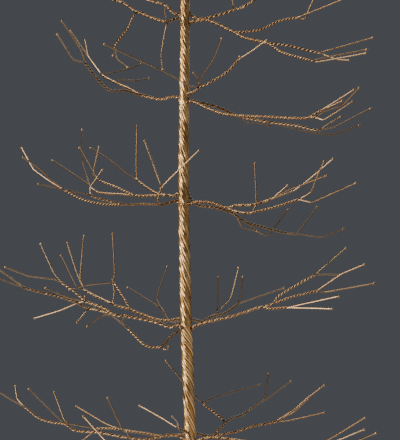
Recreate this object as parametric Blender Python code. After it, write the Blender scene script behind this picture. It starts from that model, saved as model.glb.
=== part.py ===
"""A wire tree sculpture: a rope of twisted wires stands on a round plinth and carries tiers of branches.

Each branch is a bundle of wires that forks until every wire ends alone. Routes are given in millimetres as
they look from the front, and become points in space with a depth that grows along each limb. The tree stands
on the ground at the centre of its plinth, with +Z up and its front towards -Y.
"""
import math

import bmesh
import bpy
from mathutils import Matrix, Vector

MM = 0.001

# Plinth, in millimetres
PLINTH_DIAMETER = 130.0
PLINTH_HEIGHT = 12.0
PLINTH_EDGE_ROUNDING = 4.0
PLINTH_SIDES = 48
PLINTH_EDGE_STEPS = 3
SHARP_ANGLE = 35.0

# Wire, in millimetres
WIRE_DIAMETER = 1.0
BUNDLE_FILL = 0.8
SQUARE_CORNER = math.sqrt(math.pi / 2.0)
GAP = 0.3
ROOT_GAP = 0.8
WELD_DISTANCE = 0.01

# Trunk, in millimetres above the ground
TRUNK_LINE = (
    (0.0, 0.0), (110.0, -4.0), (192.0, -7.2), (281.0, -8.9), (355.0, -8.4), (412.0, -7.9), (620.0, -5.5),
)
TRUNK_RADIUS = (
    (0.0, 4.3), (110.0, 4.0), (165.0, 4.2), (281.0, 3.9), (351.0, 3.6), (425.0, 3.2), (600.0, 2.0),
)
TRUNK_TOP = 574.0
TRUNK_STRANDS = 6
STRAND_RELIEF = 0.08
TWIST_LENGTH = 54.0
TRUNK_LEVEL = 6.5

# Tiers, counted from the ground, by the height where their branches leave the trunk
TIER_HEIGHT = {1: 110.0, 2: 192.0, 3: 281.0, 4: 355.0, 5: 412.0, 6: 464.0, 7: 508.0, 8: 545.0}

# The place from which the routes are read, in millimetres
EYE_X = 3.0
EYE_HEIGHT = 266.0
VIEW_DISTANCE = 1500.0

# Plain upper tiers: their branches, how far they reach, and the turn in degrees from one tier to the next
UPPER_BRANCHES = 4
UPPER_REACH = {6: 104.0, 7: 80.0, 8: 54.0}
UPPER_TURN = 37.0
UPPER_ROOT_STEP = 1.5
REACH_VARIES = 0.08
REACH_WAVE = 2.4
BEARING_VARIES = 14.0
BEARING_WAVE = 5.1

# A plain branch, in shares of its reach: how far out its stem, fork and pair lie, and how high
PLAIN_STEM = (0.22, -0.03)
PLAIN_FORK = (0.45, -0.02)
PLAIN_PAIR = (0.62, 0.05)
PAIR_SWING = 12.0

# Its tips: out and rise at the bend, out and rise at the end, and the swing in degrees
PAIR_TIPS = ((0.78, 0.16, 0.93, 0.46, 22.0), (0.82, 0.10, 1.0, 0.28, 8.0))
SINGLE_TIPS = ((0.66, 0.04, 0.86, 0.34, -18.0), (0.56, 0.14, 0.62, 0.50, 2.0))
BEND_SWING = 0.7

# Crown: where it forks above the trunk, and the place of each wire's bend in shares of its spread and length
CROWN_WIRES = 5
CROWN_FORK = 8.0
CROWN_LENGTH = 42.0
CROWN_SPREAD = 15.0
CROWN_BEND = (0.45, 0.35)
CROWN_SPREAD_VARIES = 0.5
CROWN_SPREAD_WAVE = 2.0
CROWN_LENGTH_VARIES = 0.15
CROWN_LENGTH_WAVE = 3.0

# Finishes: colour and roughness
BRANCH_GOLD = ((0.60, 0.38, 0.15, 1.0), 0.35)
TRUNK_GOLD = ((0.66, 0.44, 0.19, 1.0), 0.3)
PLINTH_GOLD = ((0.50, 0.32, 0.13, 1.0), 0.4)


def clear_scene():
    """Remove every object, so that the model starts from an empty scene."""
    for obj in list(bpy.data.objects):
        bpy.data.objects.remove(obj, do_unlink=True)


def finish(name, colour, roughness):
    """Return a metal finish of one colour."""
    material = bpy.data.materials.new(name)
    material.use_nodes = True
    shader = material.node_tree.nodes["Principled BSDF"]
    shader.inputs["Base Color"].default_value = colour
    shader.inputs["Metallic"].default_value = 1.0
    shader.inputs["Roughness"].default_value = roughness
    material.diffuse_color = colour
    return material


def add_piece(name, mesh, gold):
    """Put a mesh into the scene as one named piece with its own finish."""
    mesh.name = name
    mesh.materials.clear()
    mesh.materials.append(finish(name + "_finish", *gold))
    piece = bpy.data.objects.new(name, mesh)
    bpy.context.scene.collection.objects.link(piece)
    return piece


def read_line(line, height):
    """Read a line of (height, value) at a height, straight between its heights and level past its ends."""
    for (low, first), (high, second) in zip(line, line[1:]):
        if height <= high:
            share = max(0.0, (height - low) / (high - low))
            return first + (second - first) * share
    return line[-1][1]


def trunk_axis(height):
    """Return the middle of the trunk at a height, in millimetres."""
    return Vector((read_line(TRUNK_LINE, height), 0.0, height))


def bundle_radius(wires):
    """Return the corner radius of a square tube with the same section as a bundle of wires."""
    radius = WIRE_DIAMETER / 2.0
    if wires > 1:
        radius *= math.sqrt(wires / BUNDLE_FILL)
    return radius * SQUARE_CORNER


# Branch routes

def limb(knots, depth, *forks):
    """Describe one limb: its knots as (side, rise), the depth of its end, and the limbs it forks into."""
    return {"knots": knots, "depth": depth, "forks": forks}


def count_wires(one_limb):
    """Count the wires in a limb, one for each tip beyond it."""
    if not one_limb["forks"]:
        return 1
    return sum(count_wires(fork) for fork in one_limb["forks"])


TIER_1 = {
    "left_front": limb([(-13, 1.3), (-22, -0.2), (-33, -2), (-43, -0.9)], 6,
                       limb([(-45.5, 3.6)], 4),
                       limb([(-48, -0.3), (-65, 3), (-84, 4.8)], 12,
                            limb([(-90, 9), (-99, 10.3), (-109, 13.5), (-118, 20.5)], 10,
                                 limb([(-124.5, 27), (-126, 36.5)], 18),
                                 limb([(-127, 25.5), (-141, 34)], 4)),
                            limb([(-91, 13), (-98, 32)], 18))),
    "left_back": limb([(-12, 1), (-22, 0.5), (-33, 2.5), (-48, 4.7)], 39,
                      limb([(-59.5, 27.8)], 30),
                      limb([(-60, 8.8), (-82.3, 22)], 66),
                      limb([(-66, 5.8)], 53,
                           limb([(-77, -2.2), (-90, -10)], 48),
                           limb([(-80, 8), (-92, 10.5), (-116.5, 34.3)], 115))),
    "left_low": limb([(-15, -9), (-30, -13), (-50, -12)], -61,
                     limb([(-62, -2.2), (-77, 14.5)], -44),
                     limb([(-70, -13), (-92, -6)], -115),
                     limb([(-66, -17), (-84, -21)], -86)),
    "front": limb([(-8, 5.5)], -21,
                  limb([(-20, 13), (-36.5, 22.3)], -6),
                  limb([(-9.5, 11), (-13, 14.5)], -66)),
    "right_back": limb([(8, 1.3), (16, 0.8), (20, 5), (24.5, 9.5)], 34,
                       limb([(16, 18.5), (10, 23)], 44,
                            limb([(13, 26.5), (30, 32), (49.7, 37.3)], 84),
                            limb([(3, 29.5), (-6, 40.5), (-17.5, 54.5)], 52)),
                       limb([(31, 13.7), (37, 15.5), (44, 20.5)], 56,
                            limb([(57, 28.5), (72.3, 39.8)], 80),
                            limb([(53, 26.8), (56.2, 45.5)], 82))),
    "right_middle": limb([(13, -0.5), (21, 1.5), (33, 3.5), (45, 7.5), (60, 10.3)], 8,
                         limb([(76, 20.5), (84, 27.5), (96.5, 37)], 2),
                         limb([(75, 18), (85, 27.2)], 10),
                         limb([(70, 11.3), (96.3, 17.3)], 5)),
    "right_front": limb([(12, -1), (22, -1), (38, -3), (60, -8), (88, -8)], -48,
                        limb([(100, -2), (125.5, 13.5)], -71),
                        limb([(98, -6), (125, 5)], -60),
                        limb([(108, -8), (133.5, 2.5)], -80)),
}

TIER_2 = {
    "left_front": limb([(-10, -3), (-22, 0.7), (-38, 4), (-52, 6)], 0,
                       limb([(-58, 10), (-71, 15)], 7,
                            limb([(-77, 14.5), (-90, 9), (-109, 3.3)], 24),
                            limb([(-83, 17.5), (-101, 25)], -2),
                            limb([(-72.5, 19)], 6),
                            limb([(-82, 24), (-88, 28)], 9,
                                 limb([(-95, 36), (-104.5, 56.5)], 14),
                                 limb([(-94, 31), (-113, 33.5), (-130, 40)], 6))),
                       limb([(-69, 10.3)], 3,
                            limb([(-78.3, 0.5)], -2),
                            limb([(-80, 15), (-94, 19.5), (-115, 24.7)], -8,
                                 limb([(-127, 33), (-141, 42.5)], -6),
                                 limb([(-127, 29), (-143, 35)], -22)))),
    "left_back": limb([(-13, 1.4), (-22, 2.5), (-39, 9)], 40,
                      limb([(-44, 16), (-52, 28.5)], 65,
                           limb([(-51.2, 35), (-52.8, 64)], 68),
                           limb([(-70, 27.3), (-84, 24)], 99)),
                      limb([(-52, 13)], 53,
                           limb([(-51.5, 22), (-52.7, 31)], 54),
                           limb([(-72, 23)], 74,
                                limb([(-76, 32), (-73.5, 62.5)], 70),
                                limb([(-79, 25.5), (-90.2, 48.5)], 115),
                                limb([(-77.5, 33), (-85.5, 57.5)], 81)))),
    "left_low": limb([(-10, -9), (-17.5, -17)], -27,
                     limb([(-14, -19.3), (-12.5, -17)], -31),
                     limb([(-23, -17.7), (-29, -16.2), (-38, -8), (-42.5, -3.5)], -22,
                          limb([(-46, 0), (-44, 5.5)], -28),
                          limb([(-54, 5.3), (-60, 5.2), (-71, -2.5)], -59))),
    "back": limb([(-8, 0.8), (-13, 2), (-17.5, 10)], 51,
                 limb([(-42, 25.5)], 90),
                 limb([(-21.2, 17), (-17, 31), (-13.5, 40.5)], 92)),
    "right_front": limb([(12, -0.5), (22, 2), (34, 4.7), (53, 11)], -20,
                        limb([(61, 13)], -22,
                             limb([(68, 20), (92, 34)], -29,
                                  limb([(115, 53.7)], -22),
                                  limb([(98, 34.8), (111, 34.5)], -25)),
                             limb([(78, 19), (93, 22.5)], -39,
                                  limb([(112, 35), (128.5, 42)], -54),
                                  limb([(100, 22), (135.5, 28.3)], -44))),
                        limb([(60, 10), (72, 10.8)], -35,
                             limb([(110, 19)], -55),
                             limb([(105, 10)], -53))),
    "right_back": limb([(12, 1), (17, 4)], 23,
                       limb([(22.5, 7.5)], 38,
                            limb([(23.3, 33)], 62),
                            limb([(31, 16), (33, 20), (38, 39.7)], 52)),
                       limb([(28, 7), (37, 13.3)], 58,
                            limb([(70.5, 25)], 74),
                            limb([(40, 21), (41, 33)], 76))),
}

TIER_3 = {
    "left_front": limb([(-10, -2.5), (-17, -4)], -7,
                       limb([(-16, 8)], -17,
                            limb([(-28, 42)], -14),
                            limb([(11, 35)], -24)),
                       limb([(-30, -3.5), (-40, -4)], -14,
                            limb([(-55, -1), (-66, 2.5)], -20,
                                 limb([(-80, 5.5), (-104.5, 11)], -43),
                                 limb([(-67, 8.5), (-58.5, 21)], -13)),
                            limb([(-55, -4), (-72, -0.5), (-84, 5.5)], 6,
                                 limb([(-95, 12), (-108, 21.5), (-116.5, 37)], 32),
                                 limb([(-95, 14), (-103, 21.5), (-115.3, 30)], -4)))),
    "left_back": limb([(-4.5, 3.6), (-7, 1.8), (-10, 2.6)], 12,
                      limb([(-20, 4.5), (-33, 13.5)], 41,
                           limb([(-34, 22), (-33.5, 53)], 44),
                           limb([(-40, 17.5), (-54, 29), (-67, 37)], 81)),
                      limb([(-22, 2.5), (-34, 2.3)], 32,
                           limb([(-48, 8.5), (-62, 14.5)], 58,
                                limb([(-75, 37)], 84),
                                limb([(-65, 18), (-61, 37.5)], 49)),
                           limb([(-45, 3.5), (-62, 5)], 70,
                                limb([(-67, 9), (-73, 27), (-73, 50)], 107),
                                limb([(-71, 12.5), (-94.5, 28)], 110)))),
    "right_front": limb([(10, -2), (20, -2.5), (30, -6)], -18,
                        limb([(38, -4.6), (50, -4), (63, 0)], -38,
                             limb([(75, 10)], -42),
                             limb([(76.5, 7), (103, 17)], -66),
                             limb([(80, 6.5), (92, 15.5), (107.5, 29)], -52)),
                        limb([(36, -8.5), (48, -10)], -34,
                             limb([(52.3, -4), (51.3, 25.5)], -38),
                             limb([(65, -6), (82, -0.5)], -58,
                                  limb([(91.5, 5), (96, 16), (101, 27)], -72),
                                  limb([(92, -2.3), (124, 11.7)], -88)))),
    "right_back": limb([(10, -4), (23, -6), (37, -11)], 16,
                       limb([(42, -20), (53, -23)], 26),
                       limb([(44, -16)], 20,
                            limb([(56, -25), (61, -25.5), (75, -7.5)], 50),
                            limb([(55, -19.5), (72, -24)], 35,
                                 limb([(82, -25), (100, -27.5), (115, -21.5)], 58),
                                 limb([(81, -25.5), (96, -5.5)], 60)))),
}

TIER_4 = {
    "left": limb([(-9.8, -0.5), (-15.8, -2), (-30, 0.7)], 6,
                 limb([(-40.8, 6), (-46.8, 8.6)], 35,
                      limb([(-47, 12), (-35.7, 11.3), (-25.8, 12.9)], 64),
                      limb([(-59, 15.2)], 52,
                           limb([(-52, 17), (-40, 19.9), (-31, 23.5)], 81),
                           limb([(-66, 24), (-82, 47.3)], 84),
                           limb([(-69, 29), (-71.3, 40.4)], 67))),
                 limb([(-42.4, 4.3), (-54, 4.6)], -29,
                      limb([(-62.1, 12), (-71, 23.5)], -49,
                           limb([(-79.9, 26.4), (-91.4, 44.5)], -84),
                           limb([(-74.8, 34.1), (-88, 54)], -67)))),
    "rising": limb([(7.5, 3.1), (10.5, 6)], -18,
                   limb([(3.2, 7.6), (-3.6, 11.8), (-14.6, 17.9), (-57.5, 37.5)], -67),
                   limb([(10.6, 11)], -22,
                        limb([(6.8, 16.9)], -32),
                        limb([(16.1, 19.7), (21.9, 28.8), (26.8, 41.5)], -64)),
                   limb([(17.6, 9.4), (30.8, 17.5), (38.7, 25.9)], -28,
                        limb([(39.6, 28.6)], -29),
                        limb([(49.7, 33.4), (59.3, 40.5)], -37))),
    "right_front": limb([(8.9, -4.6), (16.1, -8.2), (28.1, -12.5), (42.5, -14), (57, -14.6),
                         (87.4, -15.8)], -42,
                        limb([(97, -11)], -48,
                             limb([(122, 4.7)], -61),
                             limb([(113.5, -3.4)], -49)),
                        limb([(94, -15.2)], -49,
                             limb([(100.8, -10.8), (113.8, -6.2), (125.5, 6)], -82),
                             limb([(100, -16.8), (112.3, -9.4), (121, -3.6)], -68))),
    "right_back": limb([(12.8, -4.8), (22.8, -7.2), (38.5, -14)], 16,
                       limb([(45.9, -19.2), (52, -19.2), (61, -21.1)], 33),
                       limb([(59.3, -18.2)], 16,
                            limb([(72, -21.4), (90.3, -25.9), (106.6, -27.6), (126, -20.9)], 49),
                            limb([(80.7, -20.9), (96.5, -24.2)], 14,
                                 limb([(102.3, -20.9), (112.6, -14.6)], 16),
                                 limb([(108.5, -22), (133.9, -8.9)], 30)))),
}

TIER_5 = {
    "left_front": limb([(-7, -1), (-12, -3)], -6,
                       limb([(-17, -27), (-16, -38)], 0),
                       limb([(-14.5, 4), (-14, 8)], -13),
                       limb([(-20, -1.7), (-33.5, 3.5)], 3,
                            limb([(-42, -9), (-50.5, -20.5)], -20,
                                 limb([(-51.8, -27.5)], -26),
                                 limb([(-49, -30), (-41.4, -36)], -38)),
                            limb([(-44, 10), (-52, 13)], 11,
                                 limb([(-66, 19), (-84, 36)], -30),
                                 limb([(-62, 24), (-72, 46)], -8),
                                 limb([(-74, 17), (-99, 25)], -45)))),
    "left_back": limb([(-8, 3), (-14, 9), (-23, 11.5), (-38, 17)], 0,
                      limb([(-66, 40)], 28),
                      limb([(-41, 26), (-48, 47)], 20),
                      limb([(-52, 19), (-82, 29)], 33)),
    "right_back": limb([(12, -1), (18, 0), (34, 5)], -2,
                       limb([(34.4, 13), (34.6, 36)], -10),
                       limb([(42, 7.5), (50, 12.5)], -4,
                            limb([(66, 19), (86, 35)], 38),
                            limb([(62, 24), (78, 47)], 26),
                            limb([(72, 18), (101, 27)], 58))),
    "right_front": limb([(8, -3), (15, -2), (24, -5), (34, -10)], -13,
                        limb([(48, -10), (56, -8.5), (67, -3), (79, -0.5)], -28,
                             limb([(88, 2.5), (112.5, 12.5)], -41),
                             limb([(86, -1), (90, 7), (95, 18)], -32)),
                        limb([(42, -14.5), (58, -18.3)], -27,
                             limb([(74, -20.3), (96, -25.5)], -41,
                                  limb([(135, -14.8)], -42),
                                  limb([(109, -30.3), (118, -31)], -48)),
                             limb([(70, -25.5), (91, -31)], -53,
                                  limb([(104, -28.5), (131, -23.3)], -54),
                                  limb([(95, -32.2), (130, -26)], -62)))),
}

ROOT_RISE = {
    "left_front": -1.5, "left_back": 2.0, "left_low": -6.0, "left": -1.0,
    "front": 3.5, "back": 1.0, "rising": 0.5,
    "right_front": -3.5, "right_middle": -3.0, "right_back": 1.5,
}
LOW_ROOTS = {"tier_2_branch_left_low": -3.5, "tier_4_branch_right_back": -3.5}


def upper_branch(tier, number):
    """Describe a plain branch of an upper tier, which forks into four wires."""
    reach = UPPER_REACH[tier] * (1.0 + REACH_VARIES * math.sin(REACH_WAVE * number + tier))
    bearing = UPPER_TURN * tier + 360.0 * number / UPPER_BRANCHES
    bearing += BEARING_VARIES * math.sin(BEARING_WAVE * number + tier)

    def knot(out, rise, swing=0.0):
        turned = math.radians(bearing + swing)
        return (reach * out * math.cos(turned), reach * rise), reach * out * math.sin(turned)

    def tip(bend_out, bend_rise, out, rise, swing):
        bend, _ = knot(bend_out, bend_rise, swing * BEND_SWING)
        end, depth = knot(out, rise, swing)
        return limb([bend, end], depth)

    stem, _ = knot(*PLAIN_STEM)
    fork, fork_depth = knot(*PLAIN_FORK)
    pair, pair_depth = knot(*PLAIN_PAIR, PAIR_SWING)
    pair_limb = limb([pair], pair_depth, *(tip(*shape) for shape in PAIR_TIPS))
    return limb([stem, fork], fork_depth, pair_limb, *(tip(*shape) for shape in SINGLE_TIPS))


def seen_point(tier, side, rise, depth):
    """Return the point in space that is seen from the front at side and rise, and lies at a depth."""
    middle = trunk_axis(TIER_HEIGHT[tier])
    farther = 1.0 + depth / VIEW_DISTANCE
    x = EYE_X + (middle.x + side - EYE_X) * farther
    z = EYE_HEIGHT + (middle.z + rise - EYE_HEIGHT) * farther
    return Vector((x, depth, z))


def limb_points(tier, one_limb, start):
    """Return the points of a limb as (side, rise, depth), with a depth that grows evenly along it."""
    steps = []
    travelled = 0.0
    last = start[:2]
    for knot in one_limb["knots"]:
        travelled += math.dist(last, knot)
        steps.append((knot, travelled))
        last = knot
    change = one_limb["depth"] - start[2]
    return [(side, rise, start[2] + change * so_far / travelled) for (side, rise), so_far in steps]


def grow(tier, one_limb, start, tube, tubes):
    """Follow a limb along its thickest forks as one tube, and start a new tube at every other fork."""
    wires = count_wires(one_limb)
    points = limb_points(tier, one_limb, start)
    tube += [(seen_point(tier, *point), wires) for point in points]
    end = points[-1]
    thickest = max(one_limb["forks"], key=count_wires, default=None)
    for fork in one_limb["forks"]:
        if fork is thickest:
            grow(tier, fork, end, tube, tubes)
            continue
        new_tube = [(seen_point(tier, *end), count_wires(fork))]
        tubes.append(new_tube)
        grow(tier, fork, end, new_tube, tubes)


def branch_tubes(tier, stem, root_rise):
    """Return the tubes of a branch, the first one rooted just clear of the trunk."""
    first_tube = []
    tubes = [first_tube]
    grow(tier, stem, (0.0, root_rise, 0.0), first_tube, tubes)
    height = TIER_HEIGHT[tier] + root_rise
    away = first_tube[0][0] - trunk_axis(height)
    away.z = 0.0
    root_distance = read_line(TRUNK_RADIUS, height) * (1.0 + STRAND_RELIEF) + ROOT_GAP
    root = trunk_axis(height) + away.normalized() * root_distance
    first_tube.insert(0, (root, count_wires(stem)))
    return tubes


def tube_mesh(name, tubes):
    """Make square tubes along lists of (point, wires) and join them into one mesh of closed shells."""
    curve = bpy.data.curves.new(name, "CURVE")
    curve.dimensions = "3D"
    curve.bevel_depth = 1.0
    curve.bevel_resolution = 0
    curve.use_fill_caps = True
    for tube in tubes:
        spline = curve.splines.new("POLY")
        spline.points.add(len(tube) - 1)
        for spline_point, (place, wires) in zip(spline.points, tube):
            spline_point.co = (*(place * MM), 1.0)
            spline_point.radius = bundle_radius(wires) * MM
    carrier = bpy.data.objects.new(name + "_route", curve)
    bpy.context.scene.collection.objects.link(carrier)
    depsgraph = bpy.context.evaluated_depsgraph_get()
    mesh = bpy.data.meshes.new_from_object(carrier.evaluated_get(depsgraph))
    bpy.data.objects.remove(carrier, do_unlink=True)
    bpy.data.curves.remove(curve)
    return mesh


def weld_caps(mesh):
    """Close the tubes by merging each cap with its rim."""
    shape = bmesh.new()
    shape.from_mesh(mesh)
    bmesh.ops.remove_doubles(shape, verts=shape.verts, dist=WELD_DISTANCE * MM)
    bmesh.ops.recalc_face_normals(shape, faces=shape.faces)
    shape.to_mesh(mesh)
    shape.free()


def fuse(piece):
    """Fuse the overlapping tubes of a piece into one body, and keep the result as its mesh."""
    union = piece.modifiers.new("fuse_wires", "BOOLEAN")
    union.operation = "UNION"
    union.solver = "EXACT"
    union.operand_type = "COLLECTION"
    union.use_self = True
    depsgraph = bpy.context.evaluated_depsgraph_get()
    separate = piece.data
    piece.data = bpy.data.meshes.new_from_object(piece.evaluated_get(depsgraph))
    piece.modifiers.clear()
    bpy.data.meshes.remove(separate)
    piece.data.name = piece.name
    return piece


def make_branch(name, tier, stem, root_rise):
    """Make one branch as a fused piece."""
    mesh = tube_mesh(name, branch_tubes(tier, stem, root_rise))
    weld_caps(mesh)
    return fuse(add_piece(name, mesh, BRANCH_GOLD))


def make_branches():
    """Make the branches of every tier."""
    for tier, branches in enumerate((TIER_1, TIER_2, TIER_3, TIER_4, TIER_5), start=1):
        for place, stem in branches.items():
            name = f"tier_{tier}_branch_{place}"
            make_branch(name, tier, stem, LOW_ROOTS.get(name, ROOT_RISE[place]))
    for tier in UPPER_REACH:
        for number in range(UPPER_BRANCHES):
            name = f"tier_{tier}_branch_{number + 1}"
            make_branch(name, tier, upper_branch(tier, number), UPPER_ROOT_STEP * number)


def make_crown():
    """Make the wires that open at the top of the trunk."""
    base = trunk_axis(TRUNK_TOP + GAP)
    fork = trunk_axis(TRUNK_TOP + CROWN_FORK)
    bend_out, bend_rise = CROWN_BEND
    tubes = []
    for number in range(CROWN_WIRES):
        bearing = 2.0 * math.pi * number / CROWN_WIRES
        spread = CROWN_SPREAD * (1.0 + CROWN_SPREAD_VARIES * math.sin(CROWN_SPREAD_WAVE * number))
        length = CROWN_LENGTH * (1.0 - CROWN_LENGTH_VARIES * (1.0 - math.cos(CROWN_LENGTH_WAVE * number)))
        side = Vector((math.cos(bearing), math.sin(bearing), 0.0))
        bend = fork + side * spread * bend_out + Vector((0.0, 0.0, length * bend_rise))
        tip = fork + side * spread + Vector((0.0, 0.0, length))
        tubes.append([(fork, 1), (bend, 1), (tip, 1)])
    tubes[0] = [(base, CROWN_WIRES), (fork, CROWN_WIRES)] + tubes[0][1:]
    mesh = tube_mesh("crown", tubes)
    weld_caps(mesh)
    return fuse(add_piece("crown", mesh, BRANCH_GOLD))


def make_trunk():
    """Make the trunk as a twisted bar with a ridge for each strand, extruded level by level."""
    bottom = PLINTH_HEIGHT + GAP
    levels = round((TRUNK_TOP - bottom) / TRUNK_LEVEL)
    corners = 2 * TRUNK_STRANDS
    shape = bmesh.new()
    ring = bmesh.ops.create_circle(shape, cap_ends=True, segments=corners, radius=1.0)["verts"]
    edges = list(shape.edges)
    rings = [ring]
    for _ in range(levels):
        grown = bmesh.ops.extrude_edge_only(shape, edges=edges)["geom"]
        edges = [part for part in grown if isinstance(part, bmesh.types.BMEdge)]
        ring = [part for part in grown if isinstance(part, bmesh.types.BMVert)]
        edges = [edge for edge in edges if edge.verts[0] in ring and edge.verts[1] in ring]
        rings.append(ring)
    bmesh.ops.holes_fill(shape, edges=edges, sides=corners)
    for number, ring in enumerate(rings):
        height = bottom + (TRUNK_TOP - bottom) * number / levels
        turn = -2.0 * math.pi * height / TWIST_LENGTH
        middle = trunk_axis(height)
        radius = read_line(TRUNK_RADIUS, height)
        for vertex in ring:
            angle = math.atan2(vertex.co.y, vertex.co.x)
            ridge = math.cos(TRUNK_STRANDS * angle)
            reach = radius * (1.0 + STRAND_RELIEF * ridge)
            offset = Matrix.Rotation(turn + angle, 3, "Z") @ Vector((reach, 0.0, 0.0))
            vertex.co = (middle + offset) * MM
    bmesh.ops.recalc_face_normals(shape, faces=shape.faces)
    mesh = bpy.data.meshes.new("trunk")
    shape.to_mesh(mesh)
    shape.free()
    return add_piece("trunk", mesh, TRUNK_GOLD)


def make_plinth():
    """Make the plinth as a round disc with a softly rounded upper edge."""
    radius = PLINTH_DIAMETER * MM / 2.0
    height = PLINTH_HEIGHT * MM
    shape = bmesh.new()
    bmesh.ops.create_cone(shape, cap_ends=True, segments=PLINTH_SIDES, radius1=radius, radius2=radius,
                          depth=height)
    rim = [edge for edge in shape.edges if all(vertex.co.z > 0.0 for vertex in edge.verts)]
    bmesh.ops.bevel(shape, geom=rim, offset=PLINTH_EDGE_ROUNDING * MM, segments=PLINTH_EDGE_STEPS,
                    profile=0.5, affect="EDGES", material=-1)
    bmesh.ops.translate(shape, verts=shape.verts, vec=(0.0, 0.0, height / 2.0))
    mesh = bpy.data.meshes.new("plinth")
    shape.to_mesh(mesh)
    shape.free()
    piece = add_piece("plinth", mesh, PLINTH_GOLD)
    mesh.shade_smooth()
    mesh.set_sharp_from_angle(angle=math.radians(SHARP_ANGLE))
    return piece


clear_scene()
make_plinth()
make_trunk()
make_branches()
make_crown()
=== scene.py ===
# %% [markdown]
# # A tree of twisted wire
#
# The object is a table-top tree, twisted by hand from thin brass wire. A rope of wires stands on a round
# plinth. At each tier some wires leave the rope as a bundle. A bundle forks again and again until every
# wire ends alone, in a small bead of melted metal.
#
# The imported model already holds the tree's construction: where every branch runs, and how thick it is. It
# has plain square tubes in place of the bundles. This script keeps those places and dresses them in real
# round wires.

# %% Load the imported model
import math
import random

import bmesh
import bpy
from mathutils import Matrix, Vector, noise
from mathutils.geometry import interpolate_bezier
from mathutils.kdtree import KDTree


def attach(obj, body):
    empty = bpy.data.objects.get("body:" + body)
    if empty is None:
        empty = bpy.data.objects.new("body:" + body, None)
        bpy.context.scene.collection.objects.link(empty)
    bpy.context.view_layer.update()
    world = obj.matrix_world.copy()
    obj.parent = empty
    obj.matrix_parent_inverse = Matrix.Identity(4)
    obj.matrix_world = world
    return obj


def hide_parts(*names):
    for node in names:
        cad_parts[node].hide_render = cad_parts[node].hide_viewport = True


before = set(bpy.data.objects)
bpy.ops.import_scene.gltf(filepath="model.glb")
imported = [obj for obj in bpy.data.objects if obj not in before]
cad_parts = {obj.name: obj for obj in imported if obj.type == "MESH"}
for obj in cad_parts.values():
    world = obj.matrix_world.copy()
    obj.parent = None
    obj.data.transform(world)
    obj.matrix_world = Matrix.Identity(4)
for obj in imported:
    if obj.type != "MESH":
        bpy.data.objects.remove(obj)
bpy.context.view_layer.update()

print("nodes in the packed model:", len(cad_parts))

# %% [markdown]
# ## Sizes
#
# Lengths are in millimetres, the unit that a wire worker thinks in, and turn into metres only where a
# mesh is made. They repeat the driving dimensions of the construction: the wire is 1 mm thick, and all
# other sizes of the tree were read against it.

# %% Driving sizes
MM = 0.001
WIRE_DIAMETER = 1.0
BEAD_DIAMETER = 1.8
GAP = 0.3

PLINTH_DIAMETER = 130.0
PLINTH_HEIGHT = 12.0
PLINTH_EDGE_ROUNDING = 4.0

TRUNK_LINE = (
    (0.0, 0.0), (110.0, -4.0), (192.0, -7.2), (281.0, -8.9), (355.0, -8.4), (412.0, -7.9), (620.0, -5.5),
)
TRUNK_RADIUS = (
    (0.0, 4.3), (110.0, 4.0), (165.0, 4.2), (281.0, 3.9), (351.0, 3.6), (425.0, 3.2), (600.0, 2.0),
)
TRUNK_TOP = 574.0
TRUNK_STRANDS = 6
TWIST_LENGTH = 54.0

TIER_HEIGHT = {1: 110.0, 2: 192.0, 3: 281.0, 4: 355.0, 5: 412.0, 6: 464.0, 7: 508.0, 8: 545.0}

EYE_X = 3.0
EYE_HEIGHT = 266.0
VIEW_DISTANCE = 1500.0


def read_line(line, height):
    """Read a line of (height, value) at a height, straight between its heights and level past its ends."""
    for (low, first), (high, second) in zip(line, line[1:]):
        if height <= high:
            share = max(0.0, (height - low) / (high - low))
            return first + (second - first) * share
    return line[-1][1]


def trunk_axis(height):
    """Return the middle of the trunk at a height."""
    return Vector((read_line(TRUNK_LINE, height), 0.0, height))


print("the trunk is", TRUNK_TOP - PLINTH_HEIGHT, "mm tall and leans to x =", trunk_axis(TRUNK_TOP).x, "mm")

# %% [markdown]
# ## Branch routes
#
# A branch is a tree of limbs. Each limb lists a few knots where the wire bends, as they look from the
# front: millimetres to the side of the trunk and above the height of its tier. The number after the knots
# is how far the limb's end lies behind the trunk, or before it when it is negative. The limbs that it
# forks into follow. The depths are a choice: from the front they show only in how the light falls on a
# wire, so a branch that is named front may lie level with the trunk.
#
# Knots listed one by one suit hand-bent wire, which follows no rule. The plain upper tiers do follow one.


# %% Limbs
def limb(knots, depth, *forks):
    """Describe one limb: its knots as (side, rise), the depth of its end, and the limbs it forks into."""
    return {"knots": knots, "depth": depth, "forks": forks, "coiled": False}


def coiled(one_limb):
    """Say that a limb is bound with a close coil of wire."""
    return one_limb | {"coiled": True}


def count_wires(one_limb):
    """Count the wires in a limb, one for each tip beyond it."""
    if not one_limb["forks"]:
        return 1
    return sum(count_wires(fork) for fork in one_limb["forks"])


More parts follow.
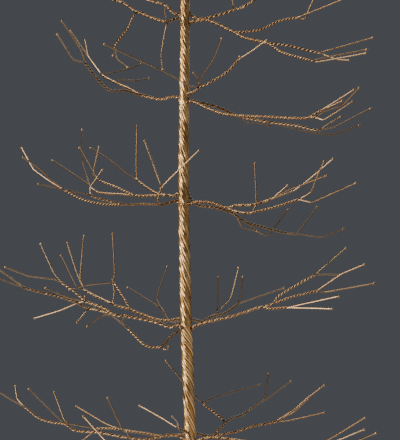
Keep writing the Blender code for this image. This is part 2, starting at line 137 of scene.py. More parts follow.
TIER_1 = {
    "left_front": limb([(-13, 1.3), (-22, -0.2), (-33, -2), (-43, -0.9)], 6,
        limb([(-45.5, 3.6)], 4),
        limb([(-48, -0.3), (-65, 3), (-84, 4.8)], 12,
            limb([(-90, 9), (-99, 10.3), (-109, 13.5), (-118, 20.5)], 10,
                limb([(-124.5, 27), (-126, 36.5)], 18), limb([(-127, 25.5), (-141, 34)], 4)),
            limb([(-91, 13), (-98, 32)], 18))),
    "left_back": limb([(-12, 1), (-22, 0.5), (-33, 2.5), (-48, 4.7)], 39,
        limb([(-59.5, 27.8)], 30), limb([(-60, 8.8), (-82.3, 22)], 66),
        limb([(-66, 5.8)], 53,
            limb([(-77, -2.2), (-90, -10)], 48),
            limb([(-80, 8), (-92, 10.5), (-116.5, 34.3)], 115))),
    "left_low": limb([(-15, -9), (-30, -13), (-50, -12)], -61,
        limb([(-62, -2.2), (-77, 14.5)], -44), limb([(-70, -13), (-92, -6)], -115),
        limb([(-66, -17), (-84, -21)], -86)),
    "front": limb([(-8, 5.5)], -21,
        limb([(-20, 13), (-36.5, 22.3)], -6), limb([(-9.5, 11), (-13, 14.5)], -66)),
    "right_back": limb([(8, 1.3), (16, 0.8), (20, 5), (24.5, 9.5)], 34,
        limb([(16, 18.5), (10, 23)], 44,
            limb([(13, 26.5), (30, 32), (49.7, 37.3)], 84),
            limb([(3, 29.5), (-6, 40.5), (-17.5, 54.5)], 52)),
        limb([(31, 13.7), (37, 15.5), (44, 20.5)], 56,
            limb([(57, 28.5), (72.3, 39.8)], 80), limb([(53, 26.8), (56.2, 45.5)], 82))),
    "right_middle": limb([(13, -0.5), (21, 1.5), (33, 3.5), (45, 7.5), (60, 10.3)], 8,
        limb([(76, 20.5), (84, 27.5), (96.5, 37)], 2), limb([(75, 18), (85, 27.2)], 10),
        limb([(70, 11.3), (96.3, 17.3)], 5)),
    "right_front": limb([(12, -1), (22, -1), (38, -3), (60, -8), (88, -8)], -48,
        limb([(100, -2), (125.5, 13.5)], -71), limb([(98, -6), (125, 5)], -60),
        limb([(108, -8), (133.5, 2.5)], -80)),
}

TIER_2 = {
    "left_front": limb([(-10, -3), (-22, 0.7), (-38, 4), (-52, 6)], 0,
        limb([(-58, 10), (-71, 15)], 7,
            limb([(-77, 14.5), (-90, 9), (-109, 3.3)], 24), limb([(-83, 17.5), (-101, 25)], -2),
            limb([(-72.5, 19)], 6),
            limb([(-82, 24), (-88, 28)], 9,
                limb([(-95, 36), (-104.5, 56.5)], 14),
                limb([(-94, 31), (-113, 33.5), (-130, 40)], 6))),
        limb([(-69, 10.3)], 3,
            limb([(-78.3, 0.5)], -2),
            limb([(-80, 15), (-94, 19.5), (-115, 24.7)], -8,
                limb([(-127, 33), (-141, 42.5)], -6), limb([(-127, 29), (-143, 35)], -22)))),
    "left_back": limb([(-13, 1.4), (-22, 2.5), (-39, 9)], 40,
        limb([(-44, 16), (-52, 28.5)], 65,
            limb([(-51.2, 35), (-52.8, 64)], 68), limb([(-70, 27.3), (-84, 24)], 99)),
        limb([(-52, 13)], 53,
            limb([(-51.5, 22), (-52.7, 31)], 54),
            limb([(-72, 23)], 74,
                limb([(-76, 32), (-73.5, 62.5)], 70), limb([(-79, 25.5), (-90.2, 48.5)], 115),
                limb([(-77.5, 33), (-85.5, 57.5)], 81)))),
    "left_low": limb([(-10, -9), (-17.5, -17)], -27,
        limb([(-14, -19.3), (-12.5, -17)], -31),
        limb([(-23, -17.7), (-29, -16.2), (-38, -8), (-42.5, -3.5)], -22,
            limb([(-46, 0), (-44, 5.5)], -28), limb([(-54, 5.3), (-60, 5.2), (-71, -2.5)], -59))),
    "back": limb([(-8, 0.8), (-13, 2), (-17.5, 10)], 51,
        limb([(-42, 25.5)], 90), limb([(-21.2, 17), (-17, 31), (-13.5, 40.5)], 92)),
    "right_front": limb([(12, -0.5), (22, 2), (34, 4.7), (53, 11)], -20,
        limb([(61, 13)], -22,
            limb([(68, 20), (92, 34)], -29,
                limb([(115, 53.7)], -22), limb([(98, 34.8), (111, 34.5)], -25)),
            limb([(78, 19), (93, 22.5)], -39,
                limb([(112, 35), (128.5, 42)], -54), limb([(100, 22), (135.5, 28.3)], -44))),
        limb([(60, 10), (72, 10.8)], -35,
            limb([(110, 19)], -55), limb([(105, 10)], -53))),
    "right_back": limb([(12, 1), (17, 4)], 23,
        limb([(22.5, 7.5)], 38,
            limb([(23.3, 33)], 62), limb([(31, 16), (33, 20), (38, 39.7)], 52)),
        limb([(28, 7), (37, 13.3)], 58,
            limb([(70.5, 25)], 74), limb([(40, 21), (41, 33)], 76))),
}

TIER_3 = {
    "left_front": limb([(-10, -2.5), (-17, -4)], -7,
        limb([(-16, 8)], -17,
            limb([(-28, 42)], -14), limb([(11, 35)], -24)),
        coiled(limb([(-30, -3.5), (-40, -4)], -14,
            limb([(-55, -1), (-66, 2.5)], -20,
                limb([(-80, 5.5), (-104.5, 11)], -43), limb([(-67, 8.5), (-58.5, 21)], -13)),
            limb([(-55, -4), (-72, -0.5), (-84, 5.5)], 6,
                limb([(-95, 12), (-108, 21.5), (-116.5, 37)], 32),
                limb([(-95, 14), (-103, 21.5), (-115.3, 30)], -4))))),
    "left_back": limb([(-4.5, 3.6), (-7, 1.8), (-10, 2.6)], 12,
        limb([(-20, 4.5), (-33, 13.5)], 41,
            limb([(-34, 22), (-33.5, 53)], 44), limb([(-40, 17.5), (-54, 29), (-67, 37)], 81)),
        limb([(-22, 2.5), (-34, 2.3)], 32,
            limb([(-48, 8.5), (-62, 14.5)], 58,
                limb([(-75, 37)], 84), limb([(-65, 18), (-61, 37.5)], 49)),
            limb([(-45, 3.5), (-62, 5)], 70,
                limb([(-67, 9), (-73, 27), (-73, 50)], 107),
                limb([(-71, 12.5), (-94.5, 28)], 110)))),
    "right_front": limb([(10, -2), (20, -2.5), (30, -6)], -18,
        limb([(38, -4.6), (50, -4), (63, 0)], -38,
            limb([(75, 10)], -42), limb([(76.5, 7), (103, 17)], -66),
            limb([(80, 6.5), (92, 15.5), (107.5, 29)], -52)),
        limb([(36, -8.5), (48, -10)], -34,
            limb([(52.3, -4), (51.3, 25.5)], -38),
            limb([(65, -6), (82, -0.5)], -58,
                limb([(91.5, 5), (96, 16), (101, 27)], -72),
                limb([(92, -2.3), (124, 11.7)], -88)))),
    "right_back": limb([(10, -4), (23, -6), (37, -11)], 16,
        limb([(42, -20), (53, -23)], 26),
        limb([(44, -16)], 20,
            limb([(56, -25), (61, -25.5), (75, -7.5)], 50),
            limb([(55, -19.5), (72, -24)], 35,
                limb([(82, -25), (100, -27.5), (115, -21.5)], 58),
                limb([(81, -25.5), (96, -5.5)], 60)))),
}

TIER_4 = {
    "left": limb([(-9.8, -0.5), (-15.8, -2), (-30, 0.7)], 6,
        limb([(-40.8, 6), (-46.8, 8.6)], 35,
            limb([(-47, 12), (-35.7, 11.3), (-25.8, 12.9)], 64),
            limb([(-59, 15.2)], 52,
                limb([(-52, 17), (-40, 19.9), (-31, 23.5)], 81), limb([(-66, 24), (-82, 47.3)], 84),
                limb([(-69, 29), (-71.3, 40.4)], 67))),
        limb([(-42.4, 4.3), (-54, 4.6)], -29,
            limb([(-62.1, 12), (-71, 23.5)], -49,
                limb([(-79.9, 26.4), (-91.4, 44.5)], -84), limb([(-74.8, 34.1), (-88, 54)], -67)))),
    "rising": limb([(7.5, 3.1), (10.5, 6)], -18,
        limb([(3.2, 7.6), (-3.6, 11.8), (-14.6, 17.9), (-57.5, 37.5)], -67),
        limb([(10.6, 11)], -22,
            limb([(6.8, 16.9)], -32), limb([(16.1, 19.7), (21.9, 28.8), (26.8, 41.5)], -64)),
        limb([(17.6, 9.4), (30.8, 17.5), (38.7, 25.9)], -28,
            limb([(39.6, 28.6)], -29), limb([(49.7, 33.4), (59.3, 40.5)], -37))),
    "right_front": limb([(8.9, -4.6), (16.1, -8.2), (28.1, -12.5), (42.5, -14), (57, -14.6), (87.4, -15.8)],
        -42,
        limb([(97, -11)], -48,
            limb([(122, 4.7)], -61), limb([(113.5, -3.4)], -49)),
        limb([(94, -15.2)], -49,
            limb([(100.8, -10.8), (113.8, -6.2), (125.5, 6)], -82),
            limb([(100, -16.8), (112.3, -9.4), (121, -3.6)], -68))),
    "right_back": limb([(12.8, -4.8), (22.8, -7.2), (38.5, -14)], 16,
        limb([(45.9, -19.2), (52, -19.2), (61, -21.1)], 33),
        limb([(59.3, -18.2)], 16,
            limb([(72, -21.4), (90.3, -25.9), (106.6, -27.6), (126, -20.9)], 49),
            limb([(80.7, -20.9), (96.5, -24.2)], 14,
                limb([(102.3, -20.9), (112.6, -14.6)], 16),
                limb([(108.5, -22), (133.9, -8.9)], 30)))),
}

TIER_5 = {
    "left_front": limb([(-7, -1), (-12, -3)], -6,
        limb([(-17, -27), (-16, -38)], 0), limb([(-14.5, 4), (-14, 8)], -13),
        limb([(-20, -1.7), (-33.5, 3.5)], 3,
            limb([(-42, -9), (-50.5, -20.5)], -20,
                limb([(-51.8, -27.5)], -26), limb([(-49, -30), (-41.4, -36)], -38)),
            limb([(-44, 10), (-52, 13)], 11,
                limb([(-66, 19), (-84, 36)], -30), limb([(-62, 24), (-72, 46)], -8),
                limb([(-74, 17), (-99, 25)], -45)))),
    "left_back": limb([(-8, 3), (-14, 9), (-23, 11.5), (-38, 17)], 0,
        limb([(-66, 40)], 28), limb([(-41, 26), (-48, 47)], 20), limb([(-52, 19), (-82, 29)], 33)),
    "right_back": limb([(12, -1), (18, 0), (34, 5)], -2,
        limb([(34.4, 13), (34.6, 36)], -10),
        limb([(42, 7.5), (50, 12.5)], -4,
            limb([(66, 19), (86, 35)], 38), limb([(62, 24), (78, 47)], 26),
            limb([(72, 18), (101, 27)], 58))),
    "right_front": limb([(8, -3), (15, -2), (24, -5), (34, -10)], -13,
        limb([(48, -10), (56, -8.5), (67, -3), (79, -0.5)], -28,
            limb([(88, 2.5), (112.5, 12.5)], -41), limb([(86, -1), (90, 7), (95, 18)], -32)),
        limb([(42, -14.5), (58, -18.3)], -27,
            limb([(74, -20.3), (96, -25.5)], -41,
                limb([(135, -14.8)], -42), limb([(109, -30.3), (118, -31)], -48)),
            limb([(70, -25.5), (91, -31)], -53,
                limb([(104, -28.5), (131, -23.3)], -54), limb([(95, -32.2), (130, -26)], -62)))),
}

ROOT_RISE = {
    "left_front": -1.5, "left_back": 2.0, "left_low": -6.0, "left": -1.0,
    "front": 3.5, "back": 1.0, "rising": 0.5,
    "right_front": -3.5, "right_middle": -3.0, "right_back": 1.5,
}
LOW_ROOTS = {"tier_2_branch_left_low": -3.5, "tier_4_branch_right_back": -3.5}

# %% [markdown]
# ## The upper tiers
#
# Above the fifth tier the branches are plainer, and get shorter towards the top, as on a young conifer.
# One rule makes them all: a stem that forks into a pair and two single wires, turned on a little from
# tier to tier.

# %% Plain branches
UPPER_BRANCHES = 4
UPPER_REACH = {6: 104.0, 7: 80.0, 8: 54.0}
UPPER_TURN = 37.0
UPPER_ROOT_STEP = 1.5
REACH_VARIES = 0.08
REACH_WAVE = 2.4
BEARING_VARIES = 14.0
BEARING_WAVE = 5.1
PLAIN_STEM = (0.22, -0.03)
PLAIN_FORK = (0.45, -0.02)
PLAIN_PAIR = (0.62, 0.05)
PAIR_SWING = 12.0
PAIR_TIPS = ((0.78, 0.16, 0.93, 0.46, 22.0), (0.82, 0.10, 1.0, 0.28, 8.0))
SINGLE_TIPS = ((0.66, 0.04, 0.86, 0.34, -18.0), (0.56, 0.14, 0.62, 0.50, 2.0))
BEND_SWING = 0.7


def upper_branch(tier, number):
    """Describe a plain branch of an upper tier, which forks into four wires."""
    reach = UPPER_REACH[tier] * (1.0 + REACH_VARIES * math.sin(REACH_WAVE * number + tier))
    bearing = UPPER_TURN * tier + 360.0 * number / UPPER_BRANCHES
    bearing += BEARING_VARIES * math.sin(BEARING_WAVE * number + tier)

    def knot(out, rise, swing=0.0):
        turned = math.radians(bearing + swing)
        return (reach * out * math.cos(turned), reach * rise), reach * out * math.sin(turned)

    def tip(bend_out, bend_rise, out, rise, swing):
        bend, _ = knot(bend_out, bend_rise, swing * BEND_SWING)
        end, depth = knot(out, rise, swing)
        return limb([bend, end], depth)

    stem, _ = knot(*PLAIN_STEM)
    fork, fork_depth = knot(*PLAIN_FORK)
    pair, pair_depth = knot(*PLAIN_PAIR, PAIR_SWING)
    pair_limb = limb([pair], pair_depth, *(tip(*shape) for shape in PAIR_TIPS))
    return limb([stem, fork], fork_depth, pair_limb, *(tip(*shape) for shape in SINGLE_TIPS))


BRANCHES = {}
for tier_number, table in enumerate((TIER_1, TIER_2, TIER_3, TIER_4, TIER_5), start=1):
    for place, stem_limb in table.items():
        name = f"tier_{tier_number}_branch_{place}"
        BRANCHES[name] = (tier_number, stem_limb, LOW_ROOTS.get(name, ROOT_RISE[place]))
for tier_number in UPPER_REACH:
    for branch_number in range(UPPER_BRANCHES):
        stem_limb = upper_branch(tier_number, branch_number)
        name = f"tier_{tier_number}_branch_{branch_number + 1}"
        BRANCHES[name] = (tier_number, stem_limb, UPPER_ROOT_STEP * branch_number)
print(len(BRANCHES), "branches with", sum(count_wires(stem) for _, stem, _ in BRANCHES.values()), "wires")

# %% [markdown]
# ## From a route to a place
#
# The knots say where a limb is seen, and the depth says how far away it is. Together they give a point in
# space: a thing that is farther away has to stand a little farther from the middle of the view to be seen
# in the same spot.


# %% Limbs in space
def seen_point(tier, side, rise, depth):
    """Return the point in space that is seen from the front at side and rise, and lies at a depth."""
    middle = trunk_axis(TIER_HEIGHT[tier])
    farther = 1.0 + depth / VIEW_DISTANCE
    x = EYE_X + (middle.x + side - EYE_X) * farther
    z = EYE_HEIGHT + (middle.z + rise - EYE_HEIGHT) * farther
    return Vector((x, depth, z))


def place_limb(tier, one_limb, seen_start, start):
    """Return a limb with its points in space, and its forks. Its depth grows evenly along it."""
    lengths = []
    last = seen_start[:2]
    for knot in one_limb["knots"]:
        lengths.append(math.dist(last, knot))
        last = knot
    change = one_limb["depth"] - seen_start[2]
    points = [start]
    for number, (side, rise) in enumerate(one_limb["knots"]):
        seen = (side, rise, seen_start[2] + change * sum(lengths[:number + 1]) / sum(lengths))
        points.append(seen_point(tier, *seen))
    forks = [place_limb(tier, fork, seen, points[-1]) for fork in one_limb["forks"]]
    return {"points": points, "forks": forks, "wires": count_wires(one_limb), "coiled": one_limb["coiled"]}


# %% [markdown]
# ## Where a branch leaves the trunk
#
# On the real tree the wires of a branch come up inside the trunk and turn outwards at their tier. So each
# bundle starts under the surface, follows the lay of the rope for a few millimetres, and comes out at its
# root. Two bundles come from the far side and wrap round the trunk first, which binds the rope as a
# collar does.

# %% Roots
ROOT_OUT = 0.9
LEAD_IN = ((12.0, 0.45), (6.0, 0.72), (2.0, 0.95))
WRAPS = {
    "tier_3_branch_right_front": (2.5, -165.0),
    "tier_4_branch_right_front": (4.0, -120.0),
}
WRAP_STEPS = 9
WRAP_SUNK = 0.7
WRAP_DIVE = 0.5
WRAP_PARTS = 3.0
STEEP_FALL = 2.0


def around_trunk(height, bearing, distance):
    """Return a point at a bearing in radians and a distance from the middle of the trunk."""
    return trunk_axis(height) + Vector((math.cos(bearing), math.sin(bearing), 0.0)) * distance


def lead_in(name, height, bearing, falls):
    """Return the points that a bundle follows inside or round the trunk, up to its root.

    A bundle that falls comes from above. One that wraps round dives under the surface where its wrap starts.
    """
    radius = read_line(TRUNK_RADIUS, height)
    points = []
    if name in WRAPS:
        drop, turn = WRAPS[name]
        for step in range(WRAP_STEPS):
            left = 1.0 - step / WRAP_STEPS
            turned = bearing + math.radians(turn) * left
            sunk = radius * (1.0 - WRAP_DIVE * max(0.0, left * WRAP_PARTS - (WRAP_PARTS - 1.0)))
            points.append(around_trunk(height - drop * left, turned, sunk - WRAP_SUNK))
    else:
        for drop, share in LEAD_IN:
            below = -drop if falls else drop
            turned = bearing + 2.0 * math.pi * below / TWIST_LENGTH
            points.append(around_trunk(height - below, turned, radius * share))
    return points + [around_trunk(height, bearing, radius + ROOT_OUT)]


def place_branch(name):
    """Return a branch's stem with its points in space, led out of the trunk."""
    tier, stem, root_rise = BRANCHES[name]
    height = TIER_HEIGHT[tier] + root_rise
    placed = place_limb(tier, stem, (0.0, root_rise, 0.0), trunk_axis(height))
    away = placed["points"][1] - trunk_axis(height)
    placed["points"][:1] = lead_in(name, height, math.atan2(away.y, away.x), away.z < -STEEP_FALL)
    return placed


# %% [markdown]
# ## Smooth lines
#
# Wire doesn't turn corners. Between two knots it follows a Bezier curve whose handles point along the
# wire. They are kept short, so that a long stretch stays straight and bends only near its knots, as
# hand-bent wire does. A single wire bends more sharply than a bundle.
#
# The twist needs points at even steps along that curve, and at each of them two directions square to the
# wire. They are carried along without turning, because any turn would add to the twist.

# %% Curves and their directions
BUNDLE_BEND = 4.0
SINGLE_BEND = 1.6
BUNDLE_STEP = 0.6
SINGLE_STEPS = 12
FINE_STEPS = 40


def smooth_line(points, first_way, last_way, bend, steps):
    """Return points on a smooth curve through some knots, which starts and ends in given directions."""
    ways = [first_way]
    for before, here, after in zip(points, points[1:], points[2:]):
        ways.append(((here - before).normalized() + (after - here).normalized()).normalized())
    ways.append(last_way)
    line = [points[0]]
    for here, there, way, next_way in zip(points, points[1:], ways, ways[1:]):
        reach = min((there - here).length / 3.0, bend)
        line += interpolate_bezier(here, here + way * reach, there - next_way * reach, there, steps)[1:]
    return line


def travelled(line):
    """Return how far along a line each of its points lies."""
    so_far = [0.0]
    for here, there in zip(line, line[1:]):
        so_far.append(so_far[-1] + (there - here).length)
    return so_far


def even_points(line, step):
    """Return points at even steps along a line."""
    so_far = travelled(line)
    count = max(3, math.ceil(so_far[-1] / step))
    even = []
    segment = 0
    for number in range(count + 1):
        wanted = so_far[-1] * number / count
        while segment < len(line) - 2 and so_far[segment + 1] < wanted:
            segment += 1
        span = so_far[segment + 1] - so_far[segment]
        even.append(line[segment].lerp(line[segment + 1], (wanted - so_far[segment]) / span))
    return even


def directions(points, normal):
    """Return the wire's direction at each point, and two square to it that don't turn about it."""
    found = []
    last_way = None
    for before, after in zip(points[:1] + points[:-1], points[1:] + points[-1:]):
        way = (after - before).normalized()
        if last_way is not None:
            normal = last_way.rotation_difference(way) @ normal
        normal = (normal - way * normal.dot(way)).normalized()
        found.append((way, normal, way.cross(normal)))
        last_way = way
    return found


# %% [markdown]
# ## Twisting
#
# The wires of a limb are twisted into one bundle. Two wires give a plain pair, with a bead of light every
# three millimetres or so. Three or more are pulled tight and lie flat, as two thick strands would, so
# that the bundle still shows its beads. What is left over is hidden in the middle. Every twist is
# left-handed, as on the trunk.
#
# One limb is bound: a wire is wound round it turn by turn, and holds its other wires together.
#
# At a fork the bundle is turned so that the wires that leave on one side already lie on that side. After
# the fork they move over to their new places within a few millimetres.

# %% Bundles of wires
HAND = -1.0
SETTLE = 5.0
LAY_VARIES = 0.12
LAY_WAVE = 1.7
CORE_RADIUS = 0.2
SECTIONS = (
    (5.6, ((0.0, 0.0),)),
    (5.6, ((0.5, 0.0), (-0.5, 0.0))),
    (6.6, ((0.58, -0.08), (0.0, 0.45), (-0.58, -0.08))),
    (7.2, ((0.72, 0.0), (0.0, 0.38), (-0.72, 0.0), (0.0, -0.38))),
    (7.8, ((0.8, 0.0), (0.1, 0.46), (-0.8, 0.0), (-0.1, -0.46))),
)
COIL_RADIUS = 0.5
COIL_LAY = 1.15
COIL_STEPS = 10
COIL_FROM = 1.5
COIL_TO = 2.0
# How much farther the painted shade reaches on the coil, in mm.
COIL_SHADE_REACH = 0.2


def blend(share):
    """Ease a share from 0 to 1, level at both ends."""
    share = min(max(share, 0.0), 1.0)
    return share * share * (3.0 - 2.0 * share)


def bundle_places(count, loose, turn=0.0):
    """Return each wire's place in a bundle as (radius, angle at the limb's end, lay, bundle's reach)."""
    lay, outer = SECTIONS[min(count, len(SECTIONS)) - 1]
    core = count - len(outer)
    places = [(math.hypot(x, y), math.atan2(y, x)) for x, y in outer]
    places += [(CORE_RADIUS, 2.0 * math.pi * number / core) for number in range(core)]
    reach = places[0][0] + WIRE_DIAMETER / 2.0
    return [(radius, angle + turn, lay * loose, reach) for radius, angle in places]


def wind_coil(points, runs, frames):
    """Wind a wire closely round a limb, from near its start to near its end."""
    coil = {"points": [], "hearts": [], "covers": [], "bead": False}
    sample = 0
    for step in range(round((runs[-1] - COIL_FROM - COIL_TO) / COIL_LAY * COIL_STEPS)):
        run = COIL_FROM + COIL_LAY * step / COIL_STEPS
        while runs[sample + 1] < run:
            sample += 1
        share = (run - runs[sample]) / (runs[sample + 1] - runs[sample])
        heart = points[sample].lerp(points[sample + 1], share)
        _, normal, binormal = frames[sample]
        turned = HAND * 2.0 * math.pi * step / COIL_STEPS
        outward = normal * math.cos(turned) + binormal * math.sin(turned)
        coil["points"].append(heart + outward * COIL_RADIUS)
        coil["hearts"].append(heart)
        # The cover sets how far painted shade reaches round the coil.
        coil["covers"].append(COIL_RADIUS + WIRE_DIAMETER / 2.0 + COIL_SHADE_REACH)
    return coil


def offset_at(place, run, normal, binormal):
    """Return a wire's offset from the middle of its bundle, a run beyond the limb's end."""
    radius, angle, lay, _ = place
    angle += HAND * 2.0 * math.pi * run / lay
    return (normal * math.cos(angle) + binormal * math.sin(angle)) * radius


def end_way(placed):
    """Return the direction in which a limb ends, part way towards the limbs it forks into."""
    points = placed["points"]
    total = (points[-1] - points[-2]).normalized() * placed["wires"]
    for fork in placed["forks"]:
        total += (fork["points"][1] - fork["points"][0]).normalized() * fork["wires"]
    return total.normalized()


def fork_pulls(placed, normal, binormal):
    """Return (bearing round the wire, pull, fork) for each fork at a limb's end, by bearing."""
    found = []
    for fork in placed["forks"]:
        away = (fork["points"][1] - fork["points"][0]).normalized()
        x, y = away.dot(normal), away.dot(binormal)
        found.append((math.atan2(y, x), math.hypot(x, y), fork))
    return sorted(found, key=lambda one: one[0])


def best_turn(pulls, places):
    """Return the turn of a bundle at which each wire lies nearest to the side where it leaves."""
    x = y = 0.0
    number = 0
    for bearing, pull, fork in pulls:
        for radius, angle, _, _ in places[number:number + fork["wires"]]:
            x += pull * radius * math.cos(bearing - angle)
            y += pull * radius * math.sin(bearing - angle)
        number += fork["wires"]
    return math.atan2(y, x)


def run_wires(placed, wires, way, normal, carried, coils):
    """Lay a limb's wires from its start through its forks to the tips, and add its coils."""
    count = placed["wires"]
    last_way = end_way(placed)
    if count == 1:
        points = smooth_line(placed["points"], way, last_way, SINGLE_BEND, SINGLE_STEPS)
    else:
        fine = smooth_line(placed["points"], way, last_way, BUNDLE_BEND, FINE_STEPS)
        points = even_points(fine, BUNDLE_STEP)
    runs = travelled(points)
    frames = directions(points, normal)
    last_normal, last_binormal = frames[-1][1:]
    pulls = fork_pulls(placed, last_normal, last_binormal)
    loose = 1.0 + LAY_VARIES * math.sin(placed["points"][-1].x * LAY_WAVE)
    places = bundle_places(count, loose, best_turn(pulls, bundle_places(count, loose)))
    if placed["coiled"]:
        reach = CORE_RADIUS + WIRE_DIAMETER / 2.0
        places = [(CORE_RADIUS, angle, lay, reach) for _, angle, lay, _ in places]
        coils.append(wind_coil(points, runs, frames))
    for number, (wire, place) in enumerate(zip(wires, places)):
        for sample in range(1 if wire["points"] else 0, len(points)):
            _, normal_here, binormal_here = frames[sample]
            offset = offset_at(place, runs[sample] - runs[-1], normal_here, binormal_here)
            cover = place[3]
            if carried and runs[sample] < SETTLE:
                share = blend(runs[sample] / SETTLE)
                before = offset_at(carried[number], runs[sample], normal_here, binormal_here)
                offset = before.lerp(offset, share)
                cover += (carried[number][3] - cover) * (1.0 - share)
            wire["points"].append(points[sample] + offset)
            wire["hearts"].append(points[sample])
            wire["covers"].append(cover)
    first = 0
    for _, _, fork in pulls:
        last = first + fork["wires"]
        run_wires(fork, wires[first:last], last_way, last_normal, places[first:last], coils)
        first = last


def lay_branch(placed):
    """Return a branch's wires, each with its points and the middle of its bundle beside each point."""
    wires = [{"points": [], "hearts": [], "covers": [], "bead": True} for _ in range(placed["wires"])]
    coils = []
    way = (placed["points"][1] - placed["points"][0]).normalized()
    run_wires(placed, wires, way, way.orthogonal().normalized(), None, coils)
    return wires + coils


sample_branch = lay_branch(place_branch("tier_2_branch_left_front"))
print("tier 2, left front:", len(sample_branch), "wires")
print("its first wire has", len(sample_branch[0]["points"]), "points")

# %% [markdown]
# ## From lines to wire
#
# A line becomes round wire as a curve with a bevel, the one tool in Blender that keeps a tube's section
# true round every bend. The curves of a branch are turned into one mesh, and a bead is added at each end
# that shows.
#
# Two numbers are kept at each vertex for the finish. One says how deep it lies in the twist, which the
# finish darkens as painted shade. The other differs from wire to wire, because no two lengths of wire are
# quite alike.

# %% Wire meshes
WIRE_ROUNDNESS = 2
WELD_DISTANCE = 0.001
BEAD_LENGTH = 1.15
BEAD_SIDES = 12
BEAD_RINGS = 8
SIZE_VARIES = 0.12
NEAR_SAMPLES = 10


def wire_curves(name, wires):
    """Return a mesh of round tubes, one along each wire."""
    curve = bpy.data.curves.new(name + "_lines", "CURVE")
    curve.dimensions = "3D"
    curve.bevel_depth = WIRE_DIAMETER * MM / 2.0
    curve.bevel_resolution = WIRE_ROUNDNESS
    curve.use_fill_caps = True
    for wire in wires:
        spline = curve.splines.new("POLY")
        spline.points.add(len(wire["points"]) - 1)
        for spline_point, place in zip(spline.points, wire["points"]):
            spline_point.co = (*(place * MM), 1.0)
    carrier = bpy.data.objects.new(name + "_lines", curve)
    bpy.context.scene.collection.objects.link(carrier)
    mesh = bpy.data.meshes.new_from_object(carrier.evaluated_get(bpy.context.evaluated_depsgraph_get()))
    bpy.data.objects.remove(carrier, do_unlink=True)
    bpy.data.curves.remove(curve)
    return mesh


def add_bead(shape, wire, size):
    """Add a bead of melted metal at a wire's tip, a little longer than it is wide."""
    tip, before = wire["points"][-1], wire["points"][-3]
    turn = (tip - before).to_track_quat("Z", "Y").to_matrix().to_4x4()
    place = Matrix.Translation(tip * MM) @ turn @ Matrix.Diagonal((1.0, 1.0, BEAD_LENGTH, 1.0))
    bmesh.ops.create_uvsphere(shape, u_segments=BEAD_SIDES, v_segments=BEAD_RINGS,
                              radius=size * BEAD_DIAMETER * MM / 2.0, matrix=place)


def mark_shade_and_tint(mesh, wires, draw):
    """Store how deep each vertex lies in the twist, which the materials paint as shade, and the tint of its
    wire.

    Wires touch, so a vertex belongs to the sample that lies just a wire's radius away, not to the nearest.
    """
    samples = [sample + (number,) for number, wire in enumerate(wires)
               for sample in zip(wire["points"], wire["hearts"], wire["covers"])]
    tree = KDTree(len(samples))
    for index, sample in enumerate(samples):
        tree.insert(sample[0] * MM, index)
    tree.balance()
    tints = [draw.random() for _ in wires]
    depths = []
    tinted = []
    for vertex in mesh.vertices:
        near = tree.find_n(vertex.co, NEAR_SAMPLES)
        _, index, _ = min(near, key=lambda found: abs(found[2] - WIRE_DIAMETER * MM / 2.0))
        _, heart, cover, number = samples[index]
        # The depth below the bundle's cover sets how much painted shade the vertex gets.
        depths.append(max(0.0, cover - (vertex.co / MM - heart).length) / WIRE_DIAMETER)
        tinted.append(tints[number])
    mesh.attributes.new("depth", "FLOAT", "POINT").data.foreach_set("value", depths)
    mesh.attributes.new("tint", "FLOAT", "POINT").data.foreach_set("value", tinted)


def finish_piece(name, shape, mesh, material, sharp_angle=None):
    """Make a smooth piece of a bmesh. Where an angle in degrees is given, sharper edges stay sharp."""
    bmesh.ops.recalc_face_normals(shape, faces=shape.faces)
    shape.to_mesh(mesh)
    shape.free()
    mesh.shade_smooth()
    if sharp_angle is not None:
        mesh.set_sharp_from_angle(angle=math.radians(sharp_angle))
    mesh.materials.clear()
    mesh.materials.append(material)
    piece = bpy.data.objects.new(name, mesh)
    bpy.context.scene.collection.objects.link(piece)
    return piece


def make_wire_piece(name, wires, material, seed):
    """Make one piece of round wires, with a bead on every wire that asks for one."""
    draw = random.Random(seed)
    mesh = wire_curves(name, wires)
    shape = bmesh.new()
    shape.from_mesh(mesh)
    bmesh.ops.remove_doubles(shape, verts=shape.verts, dist=WELD_DISTANCE * MM)
    for wire in wires:
        if wire["bead"]:
            add_bead(shape, wire, 1.0 + SIZE_VARIES * draw.uniform(-1.0, 1.0))
    piece = finish_piece(name, shape, mesh, material)
    mark_shade_and_tint(mesh, wires, draw)
    return piece


# %% [markdown]
# ## The gold finish
#
# The wire is brass under a thin clear lacquer. Where it was handled it is bright, and in patches it has
# gone brown. Between the wires its colour is darkened towards black as painted shade. A metallic shader
# with a coat gives the rest: the metal tints what it reflects, and the lacquer adds the pale glints. The two
# numbers on the mesh, and noise on the object's own coordinates, move the colour and roughness.

# %% Material helpers
GRAIN_SPREAD = (0.3, 0.7)


def add_node(tree, kind, inputs=None, **settings):
    """Add a node with some settings and input values to a material."""
    made = tree.nodes.new(kind)
    for key, value in settings.items():
        setattr(made, key, value)
    for key, value in (inputs or {}).items():
        made.inputs[key].default_value = value
    return made


def noise_of(tree, coordinates, scale, detail, rough):
    """Return the value of a noise pattern with a number of patches for each metre."""
    made = add_node(tree, "ShaderNodeTexNoise", {"Scale": scale, "Detail": detail, "Roughness": rough})
    tree.links.new(coordinates, made.inputs["Vector"])
    return made.outputs["Fac"]


def spread_of(tree, value, low, high, to_low=0.0, to_high=1.0):
    """Spread the part of a value between two limits over a new range."""
    limits = {"From Min": low, "From Max": high, "To Min": to_low, "To Max": to_high}
    made = add_node(tree, "ShaderNodeMapRange", limits)
    tree.links.new(value, made.inputs["Value"])
    return made.outputs["Result"]


